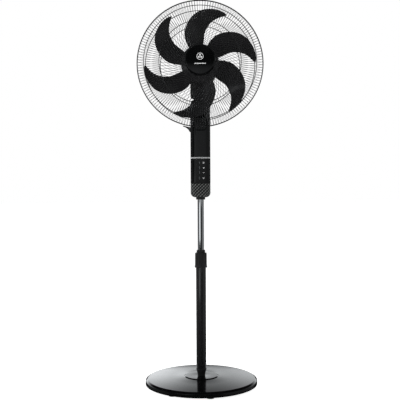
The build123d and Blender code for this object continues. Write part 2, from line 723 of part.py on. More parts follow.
# ---- write every piece ----------------------------------------------------------------------
PIECES = {
    "base_cover": base_cover, "base_weight": base_weight, "base_feet": base_feet,
    "base_bolt": base_bolt, "pole_foot": pole_foot, "outer_pole": outer_pole,
    "pole_collet": pole_collet, "height_collar": height_collar,
    "inner_pole": inner_pole, "pole_bush": pole_bush, "pole_socket": pole_socket,
    "socket_screw": socket_screw, "pod_grip": pod_grip, "pod_front": pod_front,
    "pod_back": pod_back, "pod_trim": pod_trim, "pod_screws": pod_screws,
    "cord_gland": cord_gland, "control_board": control_board,
    "indicator_lenses": indicator_lenses,
    "tilt_yoke": tilt_yoke, "tilt_pin": tilt_pin, "tilt_nut": tilt_nut,
    "neck_bracket": neck_bracket, "pivot_shaft": pivot_shaft, "swing_arm": swing_arm,
    "swing_link": swing_link, "swing_crank": swing_crank,
    "swing_motor": swing_motor, "swing_bracket": swing_bracket,
    "motor_shaft": motor_shaft, "rotor_core": rotor_core, "stator_core": stator_core,
    "stator_windings": stator_windings, "front_bell": front_bell, "rear_bell": rear_bell,
    "front_bearing": lambda: bearing(-43.0, -33.0), "rear_bearing": lambda: bearing(45.0, 55.0),
    "motor_front_cover": motor_front_cover, "motor_rear_cover": motor_rear_cover,
    "cover_screws": cover_screws, "fan_blades": fan_blades, "blade_nut": blade_nut,
    "front_wires": front_wires, "front_rings": front_rings,
    "rear_wires": rear_wires, "rear_rings": rear_rings,
    "rear_centre_plate": rear_centre_plate, "rear_nut": rear_nut,
    "badge_disc": badge_disc, "badge_back": badge_back, "badge_emblem": badge_emblem,
    "rim_latch": rim_latch, "latch_mount": latch_mount, "rim_lug": rim_lug, "lug_screw": lug_screw,
}


def write(node, piece):
    export_step(piece, "parts/" + node + ".step")
    volume = sum(solid.volume for solid in piece.solids())
    print(node, "solids", len(piece.solids()), "volume", round(volume, 1))


for node, make in PIECES.items():
    write(node, make())
for use, height in BUTTON_HEIGHTS.items():
    write("button_" + use, button(height))
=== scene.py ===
# %% [markdown]
# # A pedestal fan
# The fan stands on a round glossy base. A coated tube carries a chrome tube, the chrome tube carries the
# control column, and the column carries the head: a motor, six swept blades and a wire guard. The packed
# CAD model is the frame: it says where every piece is and what it moves with. This script gives each piece
# its finish, and rebuilds in mesh code the pieces whose curves and textures matter most to the eye.

# %% Load the frame
import json
from math import atan2, cos, pi, radians, sin, tan

import bmesh
import bpy
import numpy as np
from mathutils import Matrix, Vector


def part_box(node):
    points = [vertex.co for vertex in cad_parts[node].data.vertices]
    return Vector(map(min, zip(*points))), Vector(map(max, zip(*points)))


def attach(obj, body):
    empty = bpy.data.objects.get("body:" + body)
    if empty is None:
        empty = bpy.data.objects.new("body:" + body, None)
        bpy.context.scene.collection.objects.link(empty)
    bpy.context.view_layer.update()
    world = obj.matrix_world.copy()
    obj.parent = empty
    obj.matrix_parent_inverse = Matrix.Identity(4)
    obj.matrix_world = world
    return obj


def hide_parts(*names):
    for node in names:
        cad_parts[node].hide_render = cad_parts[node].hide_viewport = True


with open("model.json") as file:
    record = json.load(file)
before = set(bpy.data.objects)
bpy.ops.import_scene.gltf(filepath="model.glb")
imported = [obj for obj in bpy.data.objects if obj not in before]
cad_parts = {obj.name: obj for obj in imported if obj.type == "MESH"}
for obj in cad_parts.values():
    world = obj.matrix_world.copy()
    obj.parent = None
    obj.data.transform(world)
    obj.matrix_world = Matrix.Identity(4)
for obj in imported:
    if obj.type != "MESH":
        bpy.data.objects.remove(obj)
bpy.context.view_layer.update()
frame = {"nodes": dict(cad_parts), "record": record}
MM = 0.001


def span(node):
    """The lowest and highest corner of a CAD node, in millimetres."""
    low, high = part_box(node)
    return low / MM, high / MM


# %% [markdown]
# ## Shader arithmetic
# A finish is mostly small sums: noise times a depth, one minus a mask. Nodes can be wired by hand, but a
# row of Math nodes is hard to read. So one small class wraps an output socket and turns +, - and * into
# Math nodes. It keeps the reflected forms too, which makes 1 - mask work.


# %% A socket that can be added and multiplied
class Value:
    """One output of a node, with arithmetic that adds Math nodes."""

    def __init__(self, tree, socket):
        self.tree, self.socket = tree, socket

    def math(self, operation, first, second):
        node = self.tree.nodes.new("ShaderNodeMath")
        node.operation = operation
        for inlet, term in zip(node.inputs, (first, second)):
            if isinstance(term, Value):
                self.tree.links.new(term.socket, inlet)
            else:
                inlet.default_value = term
        return Value(self.tree, node.outputs[0])

    def __add__(self, other):
        return self.math("ADD", self, other)

    def __radd__(self, other):
        return self.math("ADD", other, self)

    def __sub__(self, other):
        return self.math("SUBTRACT", self, other)

    def __rsub__(self, other):
        return self.math("SUBTRACT", other, self)

    def __mul__(self, other):
        return self.math("MULTIPLY", self, other)

    def __rmul__(self, other):
        return self.math("MULTIPLY", other, self)


print("sockets now add, subtract and multiply")

# %% [markdown]
# ## Adding nodes
# Materials and the room behind the fan are both node trees, so one class adds the nodes of both. Its one
# method takes a node's type, then its settings, then what goes into its sockets.


# %% The node tree class
class NodeTree:
    """A cleared node tree, and one way to add a node to it."""

    def __init__(self, owner):
        owner.use_nodes = True
        self.tree = owner.node_tree
        self.tree.nodes.clear()

    def feed(self, inlet, value):
        if isinstance(value, Value):
            self.tree.links.new(value.socket, inlet)
        else:
            inlet.default_value = value

    def node(self, kind, settings=None, inputs=None, output=0):
        made = self.tree.nodes.new(kind)
        for key, value in (settings or {}).items():
            if key == "stops":
                for stop, (position, level) in zip(made.color_ramp.elements, value):
                    stop.position, stop.color = position, (level, level, level, 1)
            else:
                setattr(made, key, value)
        for key, value in (inputs or {}).items():
            self.feed(made.inputs[key], value)
        return Value(self.tree, made.outputs[output])


print("one method adds every node")

# %% [markdown]
# ## A finish
# Every finish here is one Principled shader with a few textures in front of it. The class below makes the
# shader and puts fixed numbers straight on its sockets. Textures read Object coordinates. The pieces sit at
# the origin with their place in the mesh, so those coordinates are metres and a grain has its real size.


# %% The finish class
class Finish(NodeTree):
    """A material under construction, around one Principled shader."""

    def __init__(self, name, colour, roughness, **fixed):
        self.material = bpy.data.materials.new(name)
        super().__init__(self.material)
        self.shader = self.tree.nodes.new("ShaderNodeBsdfPrincipled")
        output = self.tree.nodes.new("ShaderNodeOutputMaterial")
        self.tree.links.new(self.shader.outputs[0], output.inputs[0])
        self.set("Base Color", (*colour, 1.0))
        self.set("Roughness", roughness)
        for socket, value in fixed.items():
            self.set(socket.replace("_", " "), value)
        self.place = self.node("ShaderNodeTexCoord", output="Object")

    def set(self, socket, value):
        self.feed(self.shader.inputs[socket], value)

    def stretched(self, x, y, z):
        """Object coordinates squeezed along some axes, for drawn or brushed grain."""
        return self.node("ShaderNodeMapping", inputs={"Vector": self.place, "Scale": (x, y, z)})

    def noise(self, size_mm, detail=3.0, where=None):
        """Noise whose blotches are about size_mm across."""
        return self.node("ShaderNodeTexNoise", inputs={
            "Vector": where or self.place, "Scale": 1 / (size_mm * MM), "Detail": detail})

    def threshold(self, value, low, high):
        return self.node("ShaderNodeValToRGB", {"stops": ((low, 0.0), (high, 1.0))}, {"Fac": value})

    def mix(self, factor, first, second):
        colours = [(*colour, 1.0) if len(colour) == 3 else colour for colour in (first, second)]
        return self.node("ShaderNodeMix", {"data_type": "RGBA"},
                         {0: factor, 6: colours[0], 7: colours[1]}, output=2)

    def bump(self, height, depth_mm, strength=1.0):
        self.set("Normal", self.node("ShaderNodeBump", inputs={
            "Height": height, "Distance": depth_mm * MM, "Strength": strength}))


finishes = {}
print("the finish class is ready")

# %% [markdown]
# ## Gloss and satin black plastic
# The base cover, the column's face and the badge are moulded in polished tools. Such a surface is not a
# perfect mirror: it has a slow orange peel a few millimetres across, a film of dust and faint wipe marks.
# The other black mouldings have a fine spark-eroded grain, which breaks the reflection into a soft sheen.
# Both could be one shader with a slider, but their grain is so different that two are clearer.


# %% Moulded blacks
def gloss_black():
    finish = Finish("gloss_black_plastic", (0.002, 0.002, 0.002), 0.07, IOR=1.5)
    dust = finish.threshold(finish.noise(38.0, 5.0), 0.45, 0.75)
    wiped = finish.noise(9.0, 2.0, finish.stretched(1.0, 0.25, 1.0))
    finish.set("Roughness", 0.055 + 0.05 * dust + 0.035 * wiped)
    finish.set("Base Color", finish.mix(dust, (0.0012, 0.0013, 0.0014), (0.003, 0.0031, 0.0032)))
    finish.bump(finish.noise(5.5, 1.0) + 0.15 * finish.noise(0.9, 1.0), 0.006)
    return finish


def satin_black(name, colour, roughness, grain_mm=0.7, depth_mm=0.03):
    finish = Finish(name, colour, roughness, IOR=1.48)
    cloud = finish.noise(30.0, 4.0)
    finish.set("Roughness", roughness - 0.05 + 0.1 * cloud)
    finish.set("Base Color", finish.mix(cloud, [0.8 * c for c in colour], [1.3 * c for c in colour]))
    finish.bump(finish.noise(grain_mm, 2.0), depth_mm)
    return finish


finishes["gloss_black_plastic"] = gloss_black()
finishes["satin_black_plastic"] = satin_black("satin_black_plastic", (0.011, 0.011, 0.0115), 0.40)
finishes["button_plastic"] = satin_black("button_plastic", (0.012, 0.012, 0.0125), 0.30, 0.4, 0.01)
finishes["grey_plastic"] = satin_black("grey_plastic", (0.13, 0.13, 0.135), 0.42, 0.6, 0.02)
finishes["foot_rubber"] = satin_black("foot_rubber", (0.016, 0.016, 0.016), 0.75, 1.2, 0.08)
print("moulded finishes:", sorted(finishes))

# %% [markdown]
# ## Knurled cup and smoked blades
# The cup under the controls is knurled. Its tips are painted light grey, a painted highlight where they
# catch the light, and are glossier; its valleys stay near black. The mesh carries a tip value for
# each vertex, so colour and gloss follow its shape.
# The blades are dark glossy plastic. Melt runs out from the hub as it fills the mould and leaves faint
# streaks, which long stretched noise can give without any picture.


# %% Knurl and blade finishes
def knurled_black():
    finish = Finish("textured_black_plastic", (0.02, 0.02, 0.02), 0.35, IOR=1.5)
    tip = finish.node("ShaderNodeAttribute", {"attribute_name": "tip"}, output="Fac")
    # painted highlight: the ridge tips get a light grey colour as if lit, its strength varied by noise
    painted_tip_highlight = tip * (0.75 + 0.5 * finish.noise(4.0))
    finish.set("Base Color", finish.mix(painted_tip_highlight * tip, (0.002, 0.0025, 0.0025), (0.17, 0.175, 0.17)))
    finish.set("Roughness", 0.5 - 0.22 * tip)
    finish.bump(finish.noise(0.5, 2.0), 0.02)
    return finish


def smoked_blade():
    finish = Finish("smoked_blade_plastic", (0.009, 0.009, 0.0095), 0.16, IOR=1.5)
    flow = finish.noise(26.0, 5.0, finish.stretched(1.0, 0.2, 0.35))
    finish.set("Base Color", finish.mix(flow, (0.006, 0.006, 0.0065), (0.02, 0.02, 0.021)))
    finish.set("Roughness", 0.12 + 0.12 * flow)
    finish.bump(finish.noise(6.0, 2.0), 0.015)
    return finish


finishes["textured_black_plastic"] = knurled_black()
finishes["smoked_blade_plastic"] = smoked_blade()
print("knurl and blade finishes made")

# %% [markdown]
# ## Coated tube and wire
# The lower tube and the guard are dipped in black powder coat. It flows like paint, so it has a slow peel
# and a little dust in it. The wires are too thin to show more than their sheen.


# %% Powder coats
def powder_coat(name, colour, roughness, peel_mm):
    finish = Finish(name, colour, roughness, Coat_Roughness=0.06)
    specks = finish.threshold(finish.noise(1.4, 2.0), 0.66, 0.74)
    finish.set("Base Color", finish.mix(specks, colour, [2.2 * c for c in colour]))
    finish.set("Roughness", roughness + 0.12 * finish.noise(22.0, 4.0) + 0.15 * specks)
    finish.set("Coat Weight", 0.5 + 0.2 * finish.noise(45.0))
    finish.bump(finish.noise(peel_mm, 2.0), 0.02)
    return finish


finishes["black_coated_tube"] = powder_coat("black_coated_tube", (0.007, 0.007, 0.0075), 0.16, 2.4)
finishes["black_coated_wire"] = powder_coat("black_coated_wire", (0.012, 0.012, 0.0125), 0.24, 1.1)
print("powder coats made")

# %% [markdown]
# ## Metals
# The chrome tube shows faint draw lines along its length. The strip on the column is brushed
# across. Inside are zinc-plated fasteners, turned shafts, die castings, the iron weight, the stacked steel
# of the motor and its lacquered copper. One helper covers them all: a base tint, a roughness, a direction
# of brushing and a blotch size.


# %% Metal finishes
def metal(name, colour, roughness, brushed=(1.0, 1.0, 1.0), line_mm=0.8, depth_mm=0.004, blotch_mm=20.0,
          shade=0.75, metallic=1.0):
    finish = Finish(name, colour, roughness, Metallic=metallic)
    lines = finish.noise(line_mm, 2.0, finish.stretched(*brushed))
    blotch = finish.noise(blotch_mm, 5.0)
    finish.set("Base Color", finish.mix(blotch, [shade * c for c in colour], colour))
    finish.set("Roughness", roughness * (0.7 + 0.35 * lines + 0.35 * blotch))
    finish.bump(lines, depth_mm)
    return finish


ALONG_Z, ALONG_X, ALONG_Y = (1.0, 1.0, 0.03), (0.03, 1.0, 1.0), (1.0, 0.03, 1.0)
finishes["chrome"] = metal("chrome", (0.78, 0.79, 0.80), 0.055, ALONG_Z, 1.0, 0.0006, 60.0, 0.9)
finishes["silver_trim"] = metal("silver_trim", (0.46, 0.47, 0.47), 0.42, ALONG_X, 0.3, 0.01,
                                metallic=0.3)
finishes["zinc_steel"] = metal("zinc_steel", (0.50, 0.51, 0.53), 0.36, blotch_mm=4.0, shade=0.8)
finishes["turned_steel"] = metal("turned_steel", (0.52, 0.52, 0.53), 0.22, ALONG_Y, 0.3, 0.006)
finishes["die_cast"] = metal("die_cast", (0.45, 0.45, 0.46), 0.5, line_mm=1.2, depth_mm=0.05)
finishes["lamination"] = metal("lamination", (0.20, 0.20, 0.21), 0.45, (0.03, 1.0, 0.03), 0.5, 0.15)
finishes["bronze"] = metal("bronze", (0.50, 0.33, 0.15), 0.42, line_mm=0.5, depth_mm=0.02)
finishes["cast_weight"] = metal("cast_weight", (0.06, 0.058, 0.055), 0.7, line_mm=2.0, depth_mm=0.4,
                                metallic=0.5)
print("metal finishes made")

# %% [markdown]
# ## Copper, board, print and lens
# The windings are fine lacquered wire, so their bump runs round the coil in narrow bands. The board is green
# resist over a weave. The white legends and emblem are printed ink with a dry edge. The indicator lenses
# are frosted smoky plastic with the light off.


# %% Remaining finishes
def copper():
    finish = Finish("copper_winding", (0.42, 0.17, 0.07), 0.3, Metallic=0.9)
    strands = finish.node("ShaderNodeTexWave", {"wave_type": "RINGS", "rings_direction": "Y"},
                          {"Vector": finish.place, "Scale": 140.0, "Distortion": 1.5, "Detail": 2.0})
    finish.set("Roughness", 0.22 + 0.25 * finish.noise(6.0))
    finish.set("Base Color", finish.mix(finish.noise(9.0), (0.30, 0.11, 0.045), (0.50, 0.22, 0.09)))
    finish.bump(strands, 0.25)
    return finish


def resist_board():
    finish = Finish("board", (0.012, 0.07, 0.03), 0.35)
    weave = finish.node("ShaderNodeTexBrick", inputs={
        "Vector": finish.place, "Scale": 260.0, "Mortar Size": 0.04}, output="Fac")
    finish.set("Base Color", finish.mix(finish.noise(7.0), (0.009, 0.055, 0.022), (0.016, 0.09, 0.04)))
    finish.bump(weave, 0.03)
    return finish


def white_print():
    finish = Finish("white_print", (0.6, 0.61, 0.61), 0.5)
    finish.set("Base Color", finish.mix(finish.noise(1.5, 4.0), (0.5, 0.51, 0.51), (0.68, 0.68, 0.68)))
    finish.bump(finish.noise(0.35, 2.0), 0.01)
    return finish


def frosted_lens():
    finish = Finish("lens_plastic", (0.05, 0.055, 0.058), 0.3, Coat_Roughness=0.1)
    finish.set("Base Color", finish.mix(finish.noise(3.0), (0.035, 0.04, 0.042), (0.075, 0.08, 0.085)))
    finish.set("Coat Weight", 0.3 + 0.2 * finish.noise(6.0))
    finish.bump(finish.noise(0.6), 0.02)
    return finish


for name, make in (("copper_winding", copper), ("board", resist_board), ("white_print", white_print),
                   ("lens_plastic", frosted_lens)):
    finishes[name] = make()
print(len(finishes), "finishes in all")

# %% [markdown]
# ## Giving the carried-over pieces their finish
# The record names a material slot for every node. Reading that list keeps the finishes and the record in
# step. The object's own material slot is filled, and the node's mesh is left alone.

# %% Finishes on the CAD nodes
slot_of = {part["node"]: part["material_slot"] for part in frame["record"]["subparts"]}
for node, piece in frame["nodes"].items():
    for index in range(max(1, len(piece.material_slots))):
        if not piece.material_slots:
            piece.data.materials.append(None)
        piece.material_slots[index].material = finishes[slot_of[node]].material
print("finishes given to", len(slot_of), "nodes")

# %% [markdown]
# ## Mesh helpers
# Most visible pieces are turned: their outline goes round an axis. A Screw modifier could do it, but a loop
# in code lets a shape vary with the angle, for flutes and knurls. The outlines' corners are rounded first,
# because a real moulding has no knife edges and a rounded edge gives the thin highlight that the eye
# expects.


# %% Outlines with rounded corners
CORNER_STEPS = 5


def soften(outline):
    """A closed outline of (radius, height, rounding), with its corners turned into small arcs."""
    points = []
    for i, (across, up, rounding) in enumerate(outline):
        corner = Vector((across, up))
        if not rounding:
            points.append(corner)
            continue
        before = (Vector(outline[i - 1][:2]) - corner).normalized()
        after = (Vector(outline[(i + 1) % len(outline)][:2]) - corner).normalized()
        half = before.angle(after) / 2
        centre = corner + (before + after).normalized() * (rounding / sin(half))
        start, end = (corner + way * (rounding / tan(half)) - centre for way in (before, after))
        for k in range(CORNER_STEPS + 1):
            spoke = start.lerp(end, k / CORNER_STEPS).normalized() * rounding
            points.append(centre + spoke)
    return points


print("corners get", CORNER_STEPS, "steps")


# %% Turning an outline about an axis
HUB_Z = 1115.0            # the fan axis runs along Y at this height


def about_stand(radius, angle, height):
    return radius * cos(angle), radius * sin(angle), height


def about_fan(radius, angle, y):
    return radius * sin(angle), y, HUB_Z + radius * cos(angle)


def turn(outline, steps, place, shape=None):
    """Vertices and faces of a closed outline turned about an axis; shape may vary the radius."""
    vertices = []
    for i in range(steps):
        angle = 2 * pi * i / steps
        for radius, height in outline:
            vertices.append(place(shape(radius, height, angle) if shape else radius, angle, height))
    return vertices, loop_faces(steps, len(outline))


def loop_faces(loops, size, joined=True):
    """Quads between neighbouring loops of the same size."""
    faces = []
    for i in range(loops if joined else loops - 1):
        here, there = i * size, (i + 1) % loops * size
        faces += [(here + k, here + (k + 1) % size, there + (k + 1) % size, there + k) for k in range(size)]
    return faces


print("turned pieces stand about the pole or the fan axis")


# %% Adding a piece to the fan
def merge(*parts):
    """Several lists of vertices and faces as one."""
    vertices, faces = [], []
    for more_vertices, more_faces in parts:
        faces += [tuple(i + len(vertices) for i in face) for face in more_faces]
        vertices += list(more_vertices)
    return vertices, faces


def add_piece(name, form, body, slot, replaced=(), sharp=38.0):
    """A mesh piece, from millimetres, that rides on a body and may stand for CAD nodes."""
    vertices, faces = form
    solid = bmesh.new()
    corners = [solid.verts.new(Vector(point) * MM) for point in vertices]
    for face in faces:
        solid.faces.new([corners[i] for i in face])
    bmesh.ops.remove_doubles(solid, verts=solid.verts, dist=1e-7)
    bmesh.ops.recalc_face_normals(solid, faces=solid.faces)
    for face in solid.faces:
        face.smooth = True
    for edge in solid.edges:
        edge.smooth = len(edge.link_faces) == 2 and edge.calc_face_angle() < radians(sharp)
    mesh = bpy.data.meshes.new(name)
    solid.to_mesh(mesh)
    solid.free()
    mesh.materials.append(finishes[slot].material)
    piece = bpy.data.objects.new(name, mesh)
    bpy.context.scene.collection.objects.link(piece)
    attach(piece, body)
    if replaced:
        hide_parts(*replaced)
    print(name, "has", len(mesh.polygons), "faces")
    return piece


# %% [markdown]
# ## Base cover
# The cover is a thin moulded shell: a rounded rim, a very shallow dome and a small raised step round the
# pole. Its polished top mirrors the room, so facets would show at once. It is turned in many steps, from an
# outline with a true radius at the rim, and it is hollow below like the real one.

# %% The base cover
BASE_R, COVER_WALL = span("base_cover")[1].x, 2.5
INSIDE_R = BASE_R - COVER_WALL
COVER_OUTLINE = [(13.6, 34.5, 0.6), (57.0, 34.5, 2.5), (61.0, 31.6, 1.6), (110.0, 29.2, 30.0),
                 (BASE_R - 8.0, 25.4, 5.5), (BASE_R, 20.5, 4.0), (BASE_R, 7.0, 0.8),
                 (INSIDE_R, 7.0, 0.8), (INSIDE_R, 17.5, 3.0), (BASE_R - 9.0, 22.6, 4.0),
                 (110.0, 26.6, 25.0), (60.0, 28.8, 1.0), (56.5, 32.0, 1.0), (13.6, 32.0, 0.6)]
COVER_STEPS = 240
add_piece("base_cover_form", turn(soften(COVER_OUTLINE), COVER_STEPS, about_stand), "stand",
          "gloss_black_plastic", ["base_cover"])

# %% [markdown]
# ## Feet
# Eight soft pads hold the cover just off the floor. They are short turned buttons with a rounded tread and
# a shallow dish below, which grips a smooth floor.

# %% Rubber feet
FEET, FOOT_TURN, FOOT_RING, FOOT_STEPS = 8, 10.0, 168.5, 40
FOOT_OUTLINE = [(0.0, 0.8, 0.0), (8.0, 0.8, 1.5), (9.5, 0.0, 0.4), (13.5, 0.0, 0.6), (15.0, 1.6, 1.2),
                (15.0, 9.0, 0.0), (0.0, 9.0, 0.0)]


def at_foot(index):
    turned = radians(-90 + FOOT_TURN + 360 / FEET * index)
    centre = Vector((FOOT_RING * cos(turned), FOOT_RING * sin(turned), 0))
    return lambda radius, angle, height: centre + Vector(about_stand(radius, angle, height))


pads = [turn(soften(FOOT_OUTLINE), FOOT_STEPS, at_foot(index)) for index in range(FEET)]
add_piece("base_feet_form", merge(*pads), "stand", "foot_rubber", ["base_feet"])

# %% [markdown]
# ## Tubes and the foot of the pole
# Three turned pieces: the tapered moulding that sits in the base, the black tube, and the chrome tube that
# slides inside it. The tubes are hollow, and their cut ends are rounded as a tube cutter leaves them.


# %% Pole pieces
TUBE_STEPS = 96


def tube_outline(outer, bore, low, high, rounding=0.4):
    return soften([(bore, low, rounding), (outer, low, rounding), (outer, high, rounding),
                   (bore, high, rounding)])


FOOT_OF_POLE = [(0.0, 14.0, 0.0), (13.4, 14.0, 0.3), (13.4, 34.5, 0.0), (13.9, 41.0, 12.0),
                (17.0, 52.0, 20.0), (18.2, 57.5, 1.0), (18.2, 60.4, 0.5), (16.25, 60.4, 0.0),
                (16.25, 77.0, 0.6), (0.0, 77.0, 0.0)]
add_piece("pole_foot_form", turn(soften(FOOT_OF_POLE), TUBE_STEPS, about_stand), "stand",
          "satin_black_plastic", ["pole_foot"])
for name, bore, body, slot in (("outer_pole", 16.3, "stand", "black_coated_tube"),
                               ("inner_pole", 9.8, "column", "chrome")):
    low, high = span(name)
    add_piece(name + "_form", turn(tube_outline(high.x, bore, low.z, high.z), TUBE_STEPS, about_stand), body,
              slot, [name])

# %% [markdown]
# ## Height collar
# The collar is a fluted nut. Fingers press into its eighteen shallow flutes to loosen it. The flutes are
# cut in the shape function: the radius dips where the angle meets a flute, and the dip fades out at both
# ends, so they run out smoothly as a ball-ended cutter would leave them.

# %% The fluted collar
FLUTES, FLUTE_DEPTH, STEPS_PER_FLUTE = 18, 1.5, 16
PLAIN_FOOT, PLAIN_LIP, RUN_OUT, THINNEST_FLUTED = 7.5, 1.5, 4.0, 20.0
COLLAR_LOW, COLLAR_TOP = span("height_collar")[0].z, span("height_collar")[1].z
SKIRT = [(17.8, 0.0, 0.5), (21.6, 0.0, 0.8), (21.9, 5.0, 1.5), (20.9, 9.0, 1.5), (20.8, 14.0, 0.0),
         (20.8, 22.0, 0.0), (20.7, 30.0, 0.0), (20.7, 38.0, 0.0), (20.6, 45.0, 0.0), (20.5, 50.0, 1.2),
         (19.2, 52.0, 0.8), (15.4, 52.0, 0.4), (15.4, 33.0, 0.0), (17.8, 30.0, 0.0)]
COLLAR_OUTLINE = [(radius, COLLAR_LOW + height, rounding) for radius, height, rounding in SKIRT]


def fluted(radius, height, angle):
    if radius < THINNEST_FLUTED:
        return radius
    from_foot = min(1.0, max(0.0, (height - COLLAR_LOW - PLAIN_FOOT) / RUN_OUT))
    from_lip = min(1.0, max(0.0, (COLLAR_TOP - PLAIN_LIP - height) / RUN_OUT))
    dip = max(0.0, cos(FLUTES * angle)) ** 0.7
    return radius - FLUTE_DEPTH * dip * from_foot * from_lip


collar = turn(soften(COLLAR_OUTLINE), FLUTES * STEPS_PER_FLUTE, about_stand, fluted)
add_piece("height_collar_form", collar, "collar", "satin_black_plastic", ["height_collar"], sharp=50.0)

# %% [markdown]
# ## Knurled cup
# Below the controls the column ends in a rounded, knurled cup. The knurl is two families of diagonal
# grooves. The rising grooves are cut deeper here than the falling ones, so the rising ridges stand out. It
# could be a bump texture, but a bump has no outline, so the cup is a fine grid whose points sink along the
# surface's normal. Each vertex also stores how near it is to a ridge's tip.

# %% The column's rounded section
POD_WIDTH, POD_DEPTH, POD_CORNER = 69.5, 64.0, 20.0


def pod_loop(inset, count):
    """Points and outward normals round the column's section, pushed in by inset, evenly spaced."""
    half_x, half_y, corner = POD_WIDTH / 2 - POD_CORNER, POD_DEPTH / 2 - POD_CORNER, POD_CORNER
    quarter = pi * corner / 2
    runs = [2 * half_y, quarter, 2 * half_x, quarter, 2 * half_y, quarter, 2 * half_x, quarter]
    starts = [(1, -1, 0), (1, 1, 0), (1, 1, 90), (-1, 1, 90), (-1, 1, 180), (-1, -1, 180), (-1, -1, 270),
              (1, -1, 270)]
    perimeter = sum(runs)
    points = []
    for i in range(count):
        along = perimeter * i / count
        for k, run in enumerate(runs):
            if along < run or k == len(runs) - 1:
                break
            along -= run
        side_x, side_y, facing = starts[k]
        start = Vector((side_x * half_x, side_y * half_y))
        if k % 2:
            normal = radians(facing + 90 * along / run)
            out = Vector((cos(normal), sin(normal)))
        else:
            out = Vector((cos(radians(facing)), sin(radians(facing))))
            start += Vector((-out.y, out.x)) * along
        points.append((start + out * (corner - inset), out, perimeter * i / count))
    return points, perimeter


print("the column is", round(pod_loop(0, 8)[1], 1), "mm round")

# %% The knurled cup
CUP_LOW, CUP_TOP = span("pod_grip")[0].z, span("pod_grip")[1].z
CUP_ROUND, CUP_WALL, SOCKET_HOLE, CUP_FLOOR, LIP = 16.0, 2.5, 16.1, 3.0, 0.6
KNURL_ROWS, KNURL_PITCH_Z, KNURL_DEPTH = 20, 11.4, 0.9
ROUND_LEVELS, WALL_LEVELS, STEPS_PER_ROW = 12, 44, 20
AROUND = KNURL_ROWS * STEPS_PER_ROW


def knurl(around, height, fade):
    """How far a point stands out, from 0 in a groove to 1 on a tip."""
    turns, rise = KNURL_ROWS * around, (height - CUP_TOP) / KNURL_PITCH_Z
    falling, rising = abs(cos(pi * (turns + rise))), abs(cos(pi * (turns - rise)))
    return fade * rising ** 2 * (0.25 + 0.75 * falling)


WALL_LOW, WALL_TOP = CUP_LOW + CUP_ROUND, CUP_TOP - LIP
arcs = [pi / 2 * k / ROUND_LEVELS for k in range(ROUND_LEVELS + 1)]
levels = [(CUP_ROUND * (1 - sin(arc)), WALL_LOW - CUP_ROUND * cos(arc)) for arc in arcs]
levels += [(0.0, WALL_LOW + (WALL_TOP - WALL_LOW) * k / WALL_LEVELS) for k in range(1, WALL_LEVELS + 1)]
cup_points, cup_tips, perimeter = [], [], pod_loop(0, 8)[1]
for inset, height in levels:
    fade = min(1.0, (WALL_TOP - height) / 1.2) * min(1.0, (CUP_ROUND - inset) / 3.0)
    for at, out, along in pod_loop(inset, AROUND)[0]:
        tip = knurl(along / perimeter, height, max(0.0, fade))
        spot = at + out * (KNURL_DEPTH * (tip - 1.0) * max(0.0, fade))
        cup_points.append((spot.x, spot.y, height))
        cup_tips.append(tip)
inside = ((0.5, CUP_TOP), (CUP_WALL, CUP_TOP), (CUP_WALL, WALL_LOW + 2), (CUP_WALL + 5.0, CUP_LOW + 5.4),
          (CUP_ROUND + 2.0, CUP_LOW + CUP_FLOOR))
for inset, height in inside:
    cup_points += [(*at, height) for at, out, along in pod_loop(inset, AROUND)[0]]
hole = (CUP_LOW + CUP_FLOOR, CUP_LOW)
for height in hole:
    for at, out, along in pod_loop(CUP_ROUND, AROUND)[0]:
        rim = at.normalized() * SOCKET_HOLE
        cup_points.append((*rim, height))
plain_loops = len(inside) + len(hole)
cup_tips += [0.0] * (AROUND * plain_loops)
cup = add_piece("knurled_cup", (cup_points, loop_faces(len(levels) + plain_loops, AROUND)), "column",
                "textured_black_plastic", ["pod_grip"], sharp=60.0)
cup.data.attributes.new("tip", "FLOAT", "POINT").data.foreach_set("value", cup_tips)

# %% [markdown]
# ## Button legends
# Each button has a small printed sign: a broken ring and bar for power, rising bars for speed, two arrows
# for swing and a dial for the timer. They are thin slabs of ink on the caps and ride with their buttons.


# %% Flat signs cut from outlines
INK_BACK, INK_FRONT = -32.67, -32.87
BUTTON_X = 10.5
BUTTON_HEIGHTS = {use: sum(corner.z for corner in span("button_" + use)) / 2
                  for use in ("power", "speed", "swing", "timer")}


def slab(points, height):
    """An ink outline on the front of a button, given about the button's middle."""
    count = len(points)
    vertices = [(BUTTON_X + x, y, height + z) for y in (INK_BACK, INK_FRONT) for x, z in points]
    sides = [(k, (k + 1) % count, count + (k + 1) % count, count + k) for k in range(count)]
    return vertices, sides + [tuple(range(count)), tuple(range(2 * count - 1, count - 1, -1))]


def arc_band(radius, width, start, end, height, steps=20):
    """Part of a ring, from start to end in degrees clockwise from the top."""
    angles = [radians(start + (end - start) * k / steps) for k in range(steps + 1)]
    vertices, count = [], len(angles)
    for y in (INK_BACK, INK_FRONT):
        for reach in (radius - width / 2, radius + width / 2):
            vertices += [(BUTTON_X + reach * sin(a), y, height + reach * cos(a)) for a in angles]
    order = (0, count, 3 * count, 2 * count)
    faces = [tuple(order[j] + k + d for j, d in ((m, 0), (m, 1), ((m + 1) % 4, 1), ((m + 1) % 4, 0)))
             for k in range(count - 1) for m in range(4)]
    faces += [order, tuple(corner + count - 1 for corner in order)]
    return vertices, faces


def bar(x0, x1, z0, z1, height):
    return slab([(x0, z0), (x1, z0), (x1, z1), (x0, z1)], height)


